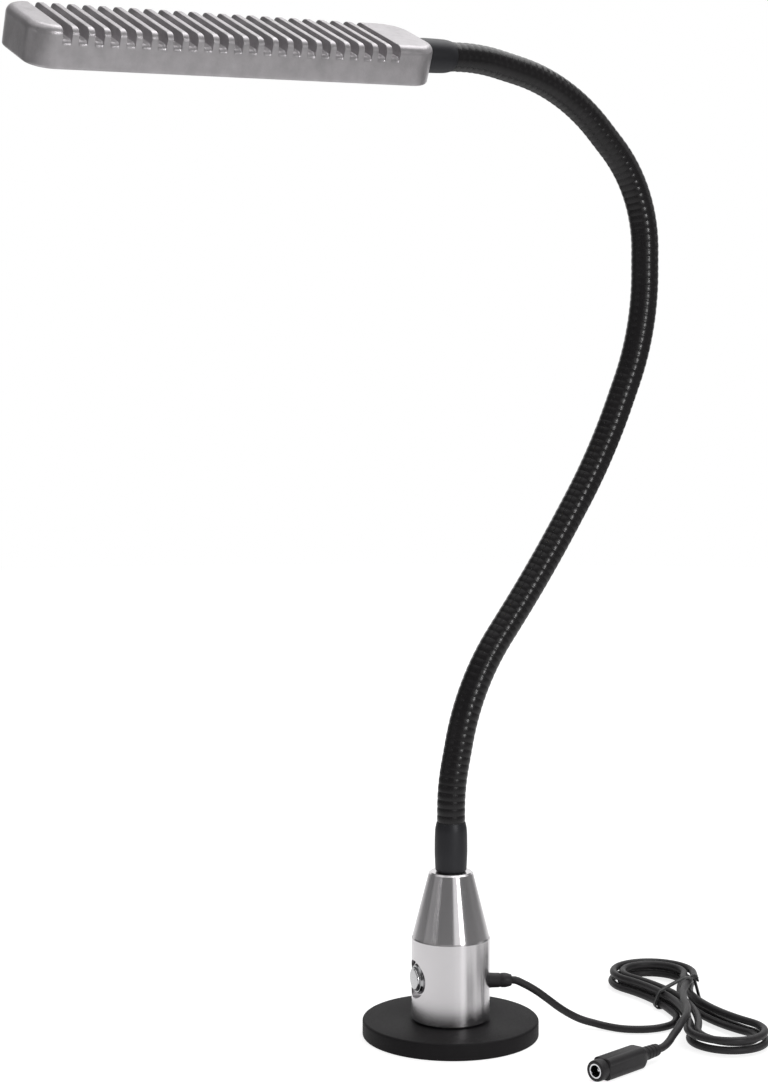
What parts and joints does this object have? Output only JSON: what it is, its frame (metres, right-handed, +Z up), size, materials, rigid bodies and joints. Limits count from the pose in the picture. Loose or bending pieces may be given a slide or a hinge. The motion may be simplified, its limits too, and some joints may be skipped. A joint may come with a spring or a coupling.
{
  "type": "machine work light",
  "caption": "Low-voltage machine work light: finned bar head on a ribbed gooseneck, turned body with a push switch on a round magnetic foot, and a cord tied in a hank.",
  "frame": {"origin": "centre of the magnetic foot's flat underside", "axes": "+Z up along the body's axis; the gooseneck bends in the XZ plane with the lamp head towards -X, and the button looks to -X"},
  "size_m": [0.3883, 0.1496, 0.4971],
  "materials": {
    "jacket_rubber": "matte moulded rubber",
    "zinc_steel": "zinc plated",
    "nickel": "nickel plated",
    "body_metal": "turned, satin",
    "bezel_metal": "bright",
    "button_metal": "satin",
    "brass": "turned",
    "switch_plastic": "moulded",
    "spring_steel": "drawn wire",
    "wire_red": "insulated wire",
    "cord_black": "semi-matte jacket",
    "ferrule_black": "smooth black",
    "sleeve_black": "semi-gloss shrink sleeve",
    "head_cast": "cast, satin",
    "board_white": "white solder mask",
    "chip_yellow": "phosphor",
    "screw_steel": "plain",
    "lens_clear": "clear tempered",
    "gasket_black": "matte",
    "tie_black": "plastic-coated wire",
    "socket_black": "moulded",
    "socket_metal": "bright plated"
  },
  "bodies": {
    "base": {"magnet_jacket": "jacket_rubber", "magnet_plate": "zinc_steel", "foot_stud": "zinc_steel", "magnet_discs": "nickel", "base_body": "body_metal", "body_plug": "body_metal", "switch_bezel": "bezel_metal", "switch_nut": "brass", "lower_nut": "brass", "lower_nipple": "brass", "switch_contacts": "brass", "switch_carrier": "switch_plastic", "switch_spring": "spring_steel", "base_wires": "wire_red", "cord_relief": "cord_black", "cord_run": "cord_black", "cord_hank": "cord_black", "cord_tail": "cord_black", "lower_ferrule": "ferrule_black", "hank_tie": "tie_black", "jack_shell": "socket_black", "jack_sleeve": "socket_metal", "jack_pin": "socket_metal", "arm_core_0": "spring_steel", "arm_sleeve_0": "sleeve_black", "arm_lead_0": "wire_red"},
    "neck_link_1": {"arm_core_1": "spring_steel", "arm_sleeve_1": "sleeve_black", "arm_lead_1": "wire_red"},
    "neck_link_2": {"arm_core_2": "spring_steel", "arm_sleeve_2": "sleeve_black", "arm_lead_2": "wire_red"},
    "neck_link_3": {"arm_core_3": "spring_steel", "arm_sleeve_3": "sleeve_black", "arm_lead_3": "wire_red"},
    "neck_link_4": {"arm_core_4": "spring_steel", "arm_sleeve_4": "sleeve_black", "arm_lead_4": "wire_red"},
    "neck_link_5": {"arm_core_5": "spring_steel", "arm_sleeve_5": "sleeve_black", "arm_lead_5": "wire_red"},
    "neck_link_6": {"arm_core_6": "spring_steel", "arm_sleeve_6": "sleeve_black", "arm_lead_6": "wire_red"},
    "head": {"arm_core_7": "spring_steel", "arm_sleeve_7": "sleeve_black", "arm_lead_7": "wire_red", "upper_ferrule": "ferrule_black", "upper_nipple": "brass", "head_housing": "head_cast", "led_board": "board_white", "led_chips": "chip_yellow", "board_screws": "screw_steel", "lens": "lens_clear", "lens_gasket": "gasket_black", "lens_screws": "screw_steel"},
    "button": {"switch_button": "button_metal"}
  },
  "joints": [
    {"name": "neck_bend_1", "type": "hinge", "parent": "base", "child": "neck_link_1", "pos_m": [0.00357, 0, 0.14199], "axis": [0, -1, 0], "range_deg": [-25, 20]},
    {"name": "neck_sway_2", "type": "hinge", "parent": "neck_link_1", "child": "neck_link_2", "pos_m": [0.03222, 0, 0.20342], "axis": [0.788, 0, -0.6157], "range_deg": [-25, 25]},
    {"name": "neck_bend_3", "type": "hinge", "parent": "neck_link_2", "child": "neck_link_3", "pos_m": [0.07227, 0, 0.25905], "axis": [0, -1, 0], "range_deg": [-25, 20]},
    {"name": "neck_sway_4", "type": "hinge", "parent": "neck_link_3", "child": "neck_link_4", "pos_m": [0.10466, 0, 0.31934], "axis": [0.9205, 0, -0.3907], "range_deg": [-25, 25]},
    {"name": "neck_bend_5", "type": "hinge", "parent": "neck_link_4", "child": "neck_link_5", "pos_m": [0.11791, 0, 0.38596], "axis": [0, -1, 0], "range_deg": [-25, 12]},
    {"name": "neck_sway_6", "type": "hinge", "parent": "neck_link_5", "child": "neck_link_6", "pos_m": [0.09204, 0, 0.44691], "axis": [0.7009, 0, 0.7133], "range_deg": [-25, 25]},
    {"name": "neck_bend_7", "type": "hinge", "parent": "neck_link_6", "child": "head", "pos_m": [0.03262, 0, 0.47851], "axis": [0, -1, 0], "range_deg": [-25, 15]},
    {"name": "button_press", "type": "slide", "parent": "base", "child": "button", "axis": [0.9781, -0.2079, 0], "range_m": [0, 0.0012], "stiffness_N_per_m": 400, "springref_m": -0.002, "deforming": ["switch_spring"]}
  ]
}
